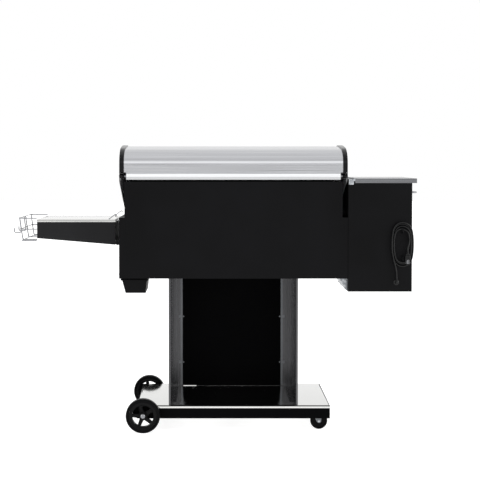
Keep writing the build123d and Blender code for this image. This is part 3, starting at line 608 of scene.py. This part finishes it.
# %% The plug
plug_x, plug_d, plug_z = TAIL[-1]
deselect()
bpy.ops.mesh.primitive_cube_add(size=1, location=at(plug_x, plug_d, plug_z - 27))
grip = bpy.context.object
grip.scale = (23 * MM, 19 * MM, 28 * MM)
settle(grip)
edit()
bpy.ops.mesh.select_all(action="SELECT")
bpy.ops.mesh.subdivide(number_cuts=4)
pick(grip, lambda p, n: abs(p.z - (plug_z - 22) * MM) < 4 * MM, "VERT")
bpy.ops.transform.resize(value=(0.84, 0.84, 1), center_override=at(plug_x, plug_d, plug_z - 22))
pick(grip, lambda p, n: p.z > (plug_z - 14) * MM, "VERT")
bpy.ops.transform.resize(value=(0.66, 0.72, 1), center_override=at(plug_x, plug_d, plug_z - 13))
leave()
modifier(grip, "SUBSURF", levels=2, render_levels=2)
relief_outline = [(-3, 0), (-3, 6)]
for i in range(4):
    z = -1 + i * 3
    relief_outline += [(z, 6 - i * 0.45), (z + 1.6, 5.9 - i * 0.45), (z + 2, 5 - i * 0.35),
                       (z + 2.8, 5 - i * 0.4)]
relief_outline += [(12, 4.2), (12, 0)]
relief = turned(relief_outline, at(plug_x, plug_d, plug_z - 12), UP, steps=32)
cord_plug = finished(join([grip, relief]), "plug_grip", cord_pvc, "grill",
                     replaces=["cord_plug"])
blades = [slab(plug_x + s * 6.3 - 0.8, plug_x + s * 6.3 + 0.8, plug_d - 3.2, plug_d + 3.2, plug_z - 58,
               plug_z - 40, 0.35) for s in (-1, 1)]
pin = turned([(-18, 0), (-18, 1.4), (-16, 2.3), (1, 2.3), (1, 0)], at(plug_x, plug_d - 5.5, plug_z - 40),
             UP, steps=24)
plug_blades = finished(join(blades + [pin]), "plug_blades", chrome, "grill")

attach(mains_cord, "grill")
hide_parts("cord_lead", "cord_coil", "cord_tail")
cord_data.materials.append(cord_pvc)
print("the cord is finished with its boot, its plug and its blades")

# %% [markdown]
# The cart's wheels are a solid rubber tyre on a moulded nylon rim. The tyre is turned from its section:
# a flat tread with three grooves, a shoulder groove on each side and a bead against the rim.

# %% Tyres
AXLE_X = 395
AXLE_Z = 75
WHEELS = {"rear": (-28, 1), "front": (588, -1)}  # d of the middle, and which way is out along +Y


def half_tread():
    """The tyre's section from the middle of the tread to the bead, as (sideways, radius)."""
    points = [(0.8, 73.9)]
    for groove in (5.2, 10.4):
        points += [(groove - 4, 75), (groove - 0.8, 75), (groove - 0.5, 73.6), (groove + 0.5, 73.6),
                   (groove + 0.8, 75)]
    points += [(13.4, 74.9), (14.6, 74.4), (15.1, 72.9), (15.9, 72.7), (16.3, 73.6)]
    points += [(16 + 3 * math.sin(math.radians(a)), 70.6 + 3 * math.cos(math.radians(a)))
               for a in (15, 40, 65, 90)]
    return points + [(19, 66), (18.2, 65), (18.2, 62.6), (18.8, 61.9), (18.8, 60.2)]


section = half_tread()
section += [(-a, r) for a, r in reversed(section)]
for side, (d, out) in WHEELS.items():
    tyre = turned(section, at(AXLE_X, d, AXLE_Z), BACKWARD, steps=96, ring=True)
    finished(tyre, side + "_tyre", tyre_rubber, side + "_wheel",
             replaces=[side + "_wheel_tyre"], smooth=40)

# %% [markdown]
# The rim has five spokes. Each is a trough: a flat bar with its middle pressed in, so that it is stiff
# but light. One spoke is modelled, pointing up, and the others are copies turned around the axle.

# %% Rims
SPOKES = 5
SPOKE_START = 75

for side, (d, out) in WHEELS.items():
    middle = at(AXLE_X, d, AXLE_Z)
    face = d - 5 * out
    hoop = turned([(-17, 60), (-17, 51), (-16, 49), (-13, 47), (13, 46), (16, 49), (17, 51), (17, 60)],
                  middle, (0, out, 0), steps=96, ring=True)
    hub = turned([(-18.5, 8.4), (-18.5, 16), (-17, 18), (15, 18), (16.5, 17), (16.8, 15.4), (18.4, 14.6),
                  (18.5, 8.4)], middle, (0, out, 0), steps=64, ring=True)
    spoke = slab(AXLE_X - 7, AXLE_X + 7, face - 6.5, face + 6.5, AXLE_Z + 15, AXLE_Z + 48)
    edit()
    outer_y = at(0, face - 6.5 * out, 0).y
    pick(spoke, lambda p, n: abs(p.y - outer_y) < 0.1 * MM)
    bpy.ops.mesh.inset(thickness=2.4 * MM)
    bpy.ops.transform.translate(value=(0, -4 * out * MM, 0))
    pick(spoke, lambda p, n: p.z < (AXLE_Z + 20) * MM, "VERT")
    bpy.ops.transform.resize(value=(1.3, 1, 1), center_override=at(AXLE_X, face, AXLE_Z + 16))
    leave()
    modifier(spoke, "BEVEL", width=0.9 * MM, segments=2, limit_method="ANGLE")
    spokes = [turned_round(copy_of(spoke), middle, 90 - (SPOKE_START + 360 / SPOKES * i))
              for i in range(SPOKES)]
    bpy.data.objects.remove(spoke)
    finished(join([hoop, hub] + spokes), side + "_rim", nylon, side + "_wheel",
             replaces=[side + "_wheel_rim"])

# %% [markdown]
# The axle is a plain bar with a spacer collar by the frame and a pressed push-on cap on each end. The
# caps are domed sheet metal with a rolled rim, bright against the black wheels.

# %% Axle
end = 28 + 22  # how far the caps stand behind the rear panel
bar_outline = [(-end, 0), (-end, 5), (3 - end, 9.4), (4.4 - end, 10.5), (5.4 - end, 10.3), (5.4 - end, 8)]
bar_outline += [(40, 8), (41.5, 13), (50.5, 13), (51.5, 12), (51.5, 8)]
mirrored = [(560 - a, r) for a, r in reversed(bar_outline)]
axle = turned(bar_outline + mirrored, at(AXLE_X, 0, AXLE_Z), FORWARD)
finished(axle, "axle_and_caps", chrome, "grill", replaces=["wheel_axle"])

# %% [markdown]
# The base shelf is one polished stainless sheet whose edges are bent down over the frame. A bend has a
# radius, and that radius draws the dark and bright lines along the edge, so the sheet is modelled as a
# shell: a block loses its underside, its bends are rounded, and the wall gets the sheet's thickness.

# %% Base shelf and worktop
SHEET = 1.5


def bent_tray(x0, x1, d0, d1, z0, z1, bend):
    """A sheet with its four edges bent down, between six limits."""
    tray = slab(x0, x1, d0, d1, z0, z1)
    edit()
    pick(tray, lambda p, n: n.z < -0.5)
    bpy.ops.mesh.delete(type="FACE")
    pick(tray, lambda p, n: p.z > (z1 - 0.1) * MM, "EDGE")
    bpy.ops.mesh.bevel(offset=bend * MM, segments=8, affect="EDGES")
    bpy.ops.mesh.select_all(action="SELECT")
    bpy.ops.mesh.normals_make_consistent(inside=False)
    leave()
    modifier(tray, "SOLIDIFY", thickness=SHEET * MM, offset=-1)
    return tray


finished(bent_tray(-425, 425, 0, 560, 103, 115, 10), "base_tray", mirror_steel, "grill",
         replaces=["base_shelf"])
finished(bent_tray(521, 870, 80, 480, 916, 928, 3), "worktop", mirror_steel, "side_shelf",
         replaces=["side_shelf_top"])

# %% [markdown]
# Screws and rivets are small, but they say how sheet metal is put together. A pan-head screw is a low
# dome with a socket. One outline makes it, and it is turned about its own axis wherever one sits.

# %% Screws and rivets
def screws(name, places, outward, body, radius=4.5):
    """A row of plated pan-head screws whose heads stand out of a sheet."""
    r, h = radius, radius * 0.55
    dome = [(0, 0), (0, r), (0.45 * h, r), (0.85 * h, 0.72 * r), (h, 0.45 * r), (h, 0.4 * r),
            (0.4 * h, 0.36 * r), (0.4 * h, 0)]
    heads = [turned(dome, at(*place), outward, steps=20) for place in places]
    return finished(join(heads), name, zinc, body)


screws("controller_screws", [(x, 500, z) for x in (-749, -553) for z in (927, 1024)], FORWARD,
       "grill", 3.5)
screws("hopper_front_screws", [(x, 460, z) for x in (-770, -512) for z in (630, 760, 890)], FORWARD,
       "grill")
screws("hopper_side_screws", [(-780, d, z) for d in (16, 444) for z in (630, 850, 1080)], TO_HOPPER,
       "grill")
screws("chamber_front_screws", [(x, 560, 684) for x in range(-480, 481, 160)], FORWARD, "grill")
screws("chamber_side_screws", [(500, d, z) for d in (16, 544) for z in (690, 925)], TO_SHELF, "grill")
cap_places = [(26, 1132), (36, 1192), (150, 1226), (300, 1226), (440, 1128), (530, 985)]
screws("cap_rivets_left", [(498, d, z) for d, z in cap_places], TO_SHELF, "lid", 3.6)
screws("cap_rivets_right", [(-498, d, z) for d, z in cap_places], TO_HOPPER, "lid", 3.6)
screws("side_handle_screws", [(-783, d, 1046) for d in (124, 336)], TO_HOPPER, "grill", 3)

# %% [markdown]
# Inside the lid's painted ends the sheet is bare aluminised steel, which shows when the lid is open. A
# thin plate with the end's outline stands for it. The lid's rear hem is folded outward a little, so
# that rain drips off, and it catches the light along the whole lid.

# %% Lid: bare inner faces and rear hem
def plate(outline, x0, x1):
    """A flat plate across x with an outline of (d, z) points."""
    mesh = bpy.data.meshes.new("plate")
    mesh.from_pydata([at(x0, d, z) for d, z in outline], [], [list(range(len(outline)))])
    piece = bpy.data.objects.new("plate", mesh)
    bpy.context.scene.collection.objects.link(piece)
    only(piece)
    edit()
    bpy.ops.mesh.select_all(action="SELECT")
    bpy.ops.mesh.extrude_region_move(TRANSFORM_OT_translate={"value": ((x1 - x0) * MM, 0, 0)})
    bpy.ops.mesh.select_all(action="SELECT")
    bpy.ops.mesh.normals_make_consistent(inside=False)
    leave()
    return piece


bare_steel, shader = new_finish("aluminised_sheet", "#e2e4e6", 0.5)
cloudy = grain(bare_steel, 40)
wire(bare_steel, tint(bare_steel, cloudy, "Fac", "#d8dadc", "#eceded"), "Color", shader, "Base Color")
liner_outline = [(4, 1100), (299, 985), (402, 949), (540, 949), (522, 1040), (432, 1150), (350, 1205),
                 (250, 1240), (90, 1228), (26, 1203), (4, 1170)]
liners = [plate(liner_outline, side * 494.9, side * 495.4) for side in (-1, 1)]
finished(join(liners), "lid_end_liners", bare_steel, "lid", smooth=20)

hem_steel = brushed("polished_hem", (0.02, 6, 6), "#c2c3c5", "#d2d3d4", 0.12, 0.2)
hem = plate([(-0.2, 1131), (-0.9, 1130.4), (-3.4, 1117.6), (-3.0, 1117), (-4.4, 1104.8), (-3.2, 1104.2),
             (-0.1, 1104.2)], -467, 467)
finished(hem, "lid_rear_hem", hem_steel, "lid", smooth=20)

# %% [markdown]
# The lid handle is a stainless tube held by two posts, with black collars that keep the heat of the
# posts away from the hand.

# %% Handle collars
collar_outline = [(-8, 7.1), (-8, 10), (-7, 11), (7, 11), (8, 10), (8, 7.1)]
collars = [turned(collar_outline, at(x, 612, 1010), FORWARD, steps=48, ring=True) for x in (-225, 225)]
finished(join(collars), "handle_collars", nylon, "lid")

# %% [markdown]
# The hopper's lid turns on a piano hinge, and at its rear end a bent plated bracket carries the pin.

# %% Hinge bracket on the hopper
bracket = slab(-525, -503, -3, -0.2, 1083, 1107, 0.8)
lug = slab(-531, -522, -6, -1, 1098, 1109.5, 1.2)
pin_end = turned([(-6, 0), (-6, 3.2), (-5, 4), (6, 4), (6, 0)], at(-527, -1, 1104.4), BACKWARD, steps=32)
finished(join([bracket, lug, pin_end]), "hopper_hinge_bracket", zinc, "grill")
screws("hinge_bracket_screws", [(-508, -3, 1090), (-508, -3, 1101)], BACKWARD, "grill", 2.6)

# %% [markdown]
# Two bent wires over the worktop's inner edge hook it to the chamber when it is up.

# %% Shelf hooks
def bent_wire(points, radius):
    """A round wire along (x, d, z) points, with smooth bends, as a mesh."""
    data = bpy.data.curves.new("wire", "CURVE")
    data.dimensions = "3D"
    data.bevel_depth = radius * MM
    data.bevel_resolution = 3
    data.use_fill_caps = True
    spline = data.splines.new("NURBS")
    spline.points.add(len(points) - 1)
    for point, place in zip(spline.points, points):
        point.co = (*at(*place), 1)
    spline.order_u = 3
    spline.use_endpoint_u = True
    wire_piece = bpy.data.objects.new("wire", data)
    bpy.context.scene.collection.objects.link(wire_piece)
    only(wire_piece)
    bpy.ops.object.convert(target="MESH")
    return bpy.context.object


hook_outline = [(551, 929), (546, 931.5), (534, 941), (526, 948), (522, 950), (518, 948), (517, 943)]
hooks = [bent_wire([(x, d, z) for x, z in hook_outline], 2) for d in (88, 472)]
finished(join(hooks), "shelf_hooks", chrome, "side_shelf")

# %% [markdown]
# The casters are twins: a rubber tread on a plastic core, turned in one outline, and a plated bolt
# through the fork.

# %% Casters
caster_side = [(0, 38), (6, 37.6), (8.6, 36.2), (10, 33.5), (10, 30), (8.6, 28.6), (8, 26), (8, 15),
               (8.6, 12.5), (9.8, 11.5), (10, 10.5), (10, 4.4)]
caster_outline = caster_side + [(-a, r) for a, r in reversed(caster_side[1:])]
for side, d in (("rear", 58), ("front", 502)):
    roller = turned(caster_outline, at(-379, d, 38), BACKWARD, steps=72, ring=True)
    finished(roller, side + "_caster_tread", tyre_rubber, side + "_caster_roller",
             replaces=[side + "_caster_wheel"])
    bolts = []
    for out in (-1, 1):
        deselect()
        bpy.ops.mesh.primitive_cylinder_add(vertices=6, radius=6.5 * MM, depth=4 * MM,
                                            location=at(-379, d + out * 16, 38),
                                            rotation=(math.pi / 2, 0, 0))
        bolt = bpy.context.object
        settle(bolt)
        modifier(bolt, "BEVEL", width=0.7 * MM, segments=2)
        bolts.append(bolt)
    race = turned([(0, 20.5), (0, 23), (1, 24), (2.6, 24), (3.4, 23), (3.4, 20.5)], at(-367, d, 82.2), UP,
                  ring=True)
    finished(join(bolts + [race]), side + "_caster_bolts", zinc, side + "_caster")

# %% [markdown]
# The controller has a framed window with lit segments, three buttons, a fluted knob with a scale round
# it and a rocker in its own frame. The segments show a plain number.

# %% Controller window
def surround(x0, x1, d0, d1, z0, z1, bevel, wall):
    """A flat frame round an opening in the controller's face."""
    piece = slab(x0, x1, d0, d1, z0, z1, bevel)
    edit()
    pick(piece, lambda p, n: abs(n.y) > 0.9)
    bpy.ops.mesh.inset(thickness=wall * MM)
    bpy.ops.mesh.bridge_edge_loops()
    leave()
    return piece


finished(surround(-735, -625, 499.6, 502.6, 960, 1020, 1.0, 5), "window_frame", abs_plastic, "grill")

# Which strokes each digit lights, and each stroke's middle and size
SEGMENTS = {"2": "abged", "5": "afgcd"}
LINES = {"a": (0, 26, 12, 2.4), "b": (6, 19.5, 2.4, 11), "c": (6, 6.5, 2.4, 11), "d": (0, 0, 12, 2.4),
         "e": (-6, 6.5, 2.4, 11), "f": (-6, 19.5, 2.4, 11), "g": (0, 13, 12, 2.4)}
segments = []
for place, digit in enumerate("225"):
    middle = -660 - 20 * place
    for letter in SEGMENTS[digit]:
        x, z, wide, high = LINES[letter]
        segments.append(slab(middle - x - wide / 2, middle - x + wide / 2, 499.5, 499.8, 977 + z - high / 2,
                             977 + z + high / 2, 0.1, 1))
finished(join(segments), "window_segments", screen_lit, "grill")

# %% [markdown]
# The buttons are low domes. The knob's scale is eleven painted strokes over three quarters of a turn,
# so one stroke is made and its copies are turned round the knob. The rocker sits in its own frame and
# has one upright painted stroke a little to one side of its middle.

# %% Buttons, scale and rocker frame
button_outline = [(0, 0), (0, 6.5), (1.6, 6.5), (2.6, 5.6), (3, 4), (3, 0)]
buttons = [turned(button_outline, at(x, 500, 942), FORWARD, steps=32) for x in (-712, -690, -668)]
finished(join(buttons), "controller_buttons", nylon, "grill")
knob_place = at(-590, 500, 990)
mark = slab(-590.7, -589.3, 500, 500.3, 1014, 1020, 0.1, 1)
marks = [turned_round(copy_of(mark), knob_place, -135 + 27 * i) for i in range(11)]
bpy.data.objects.remove(mark)
finished(join(marks), "knob_scale", legend_paint, "grill")
finished(slab(-605, -604, 503, 503.2, 937, 943, 0.08, 1), "rocker_mark", legend_paint, "power_switch")
finished(surround(-615, -585, 499.8, 502, 928, 952, 0.9, 2.6), "rocker_frame", abs_plastic, "grill")

# %% [markdown]
# The knob is moulded nylon: a skirt, a slightly tapered body with a dished top, and ribs for the
# fingers. The first rib is a thin block, and the others are its copies, turned round the knob.

# %% Knob
KNOB_RIBS = 18
skirt = turned([(0.4, 0), (0.4, 19.2), (1.2, 20), (3, 20), (4.4, 18), (5, 16), (5, 0)], knob_place, FORWARD)
body = turned([(4.8, 0), (4.8, 16.4), (17.5, 15.2), (19, 14), (19.6, 12), (19.6, 10.8), (18.6, 10),
               (18.6, 0)], knob_place, FORWARD)
rib = slab(-591, -589, 505, 517.5, 1004.5, 1006.8, 0.5)
knob_ribs = [rib] + [turned_round(copy_of(rib), knob_place, 360 / KNOB_RIBS * i) for i in range(1, KNOB_RIBS)]
finished(join([skirt, body] + knob_ribs), "knob", nylon, "knob",
         replaces=["control_knob"])
finished(slab(-590.8, -589.2, 518.6, 519.4, 992, 999.5, 0.3), "knob_pointer", legend_paint, "knob")

# %% [markdown]
# An auger's flight is one strip wound round the shaft. A line from the shaft to the rim is screwed along
# it by a modifier and given a sheet's thickness.

# %% Auger
AUGER_PITCH = 42
FLIGHT_TURNS = 14
shaft = turned([(-712, 0), (-712, 6.5), (-711, 7), (-67, 7), (-66, 6.5), (-66, 0)], at(0, 280, 725), TO_SHELF,
               steps=32)
flight_mesh = bpy.data.meshes.new("flight")
flight_mesh.from_pydata([(0, 0, 6.8 * MM), (0, 0, 25 * MM)], [(0, 1)], [])
flight = bpy.data.objects.new("flight", flight_mesh)
bpy.context.scene.collection.objects.link(flight)
flight.location = at(-680, 280, 725)
modifier(flight, "SCREW", axis="X", angle=2 * math.pi, screw_offset=AUGER_PITCH * MM, iterations=FLIGHT_TURNS,
         steps=36, render_steps=36, use_smooth_shade=True, use_normal_calculate=True)
modifier(flight, "SOLIDIFY", thickness=2.5 * MM, offset=0)
settle(flight)
finished(join([shaft, flight]), "auger_flight", plain_steel, "auger",
         replaces=["auger_screw"])

# %% [markdown]
# Each of the two grates is a row of round bars on five cross bars. One bar is turned from its outline
# and copied. A guard of thin rods lies over the funnel, so that no hand reaches the auger.

# %% Grates and hopper guard
def rod_outline(reach, radius):
    """A rod's outline with its two ends rounded a little."""
    soft = radius * 0.3
    half = [(0, 0), (0, radius * 0.7), (soft, radius)]
    return half + [(reach - a, r) for a, r in reversed(half)]


def rods(x_places, d0, d1, z, radius):
    """Round rods that run from front to rear, one at each x."""
    first = turned(rod_outline(d1 - d0, radius), at(x_places[0], d0, z), FORWARD, steps=14)
    return [first] + [copy_of(first, ((x - x_places[0]) * MM, 0, 0)) for x in x_places[1:]]


def cross_rods(d_places, x0, x1, z, radius):
    """Round rods that run across, one at each d."""
    first = turned(rod_outline(x1 - x0, radius), at(x0, d_places[0], z), TO_SHELF, steps=14)
    return [first] + [copy_of(first, (0, (d_places[0] - d) * MM, 0)) for d in d_places[1:]]


for side, (x0, x1) in (("right", (-468, -3)), ("left", (3, 468))):
    across_x = [x0 + 6 + (x1 - x0 - 12) * i / 26 for i in range(27)]
    bars = rods(across_x, 10, 538, 918.8, 2.9)
    bars += cross_rods([10, 142, 274, 406, 538], x0 + 1, x1 - 1, 918.2, 3.1)
    finished(join(bars), "grate_" + side, iron, "cooking_grates",
             replaces=["cooking_grates"] if side == "right" else ())

guard = rods([-770 + 18.5 * i for i in range(15)], 4, 456, 952, 1.6)
guard += cross_rods([6, 118, 230, 342, 454], -776, -505, 950, 2)
finished(join(guard), "hopper_guard", chrome, "grill")

# %% [markdown]
# The panel between the columns stands a little above the cart's tray. A black strip under most of its
# width closes that gap so that it reads dark, which is painted shade, and the open end lets a little
# light through.

# %% Dark strip under the panel, painted shade
finished(slab(-232, 168, 497.5, 501.5, 115.2, 117.6, 0.3), "panel_shade_strip", nylon, "grill")
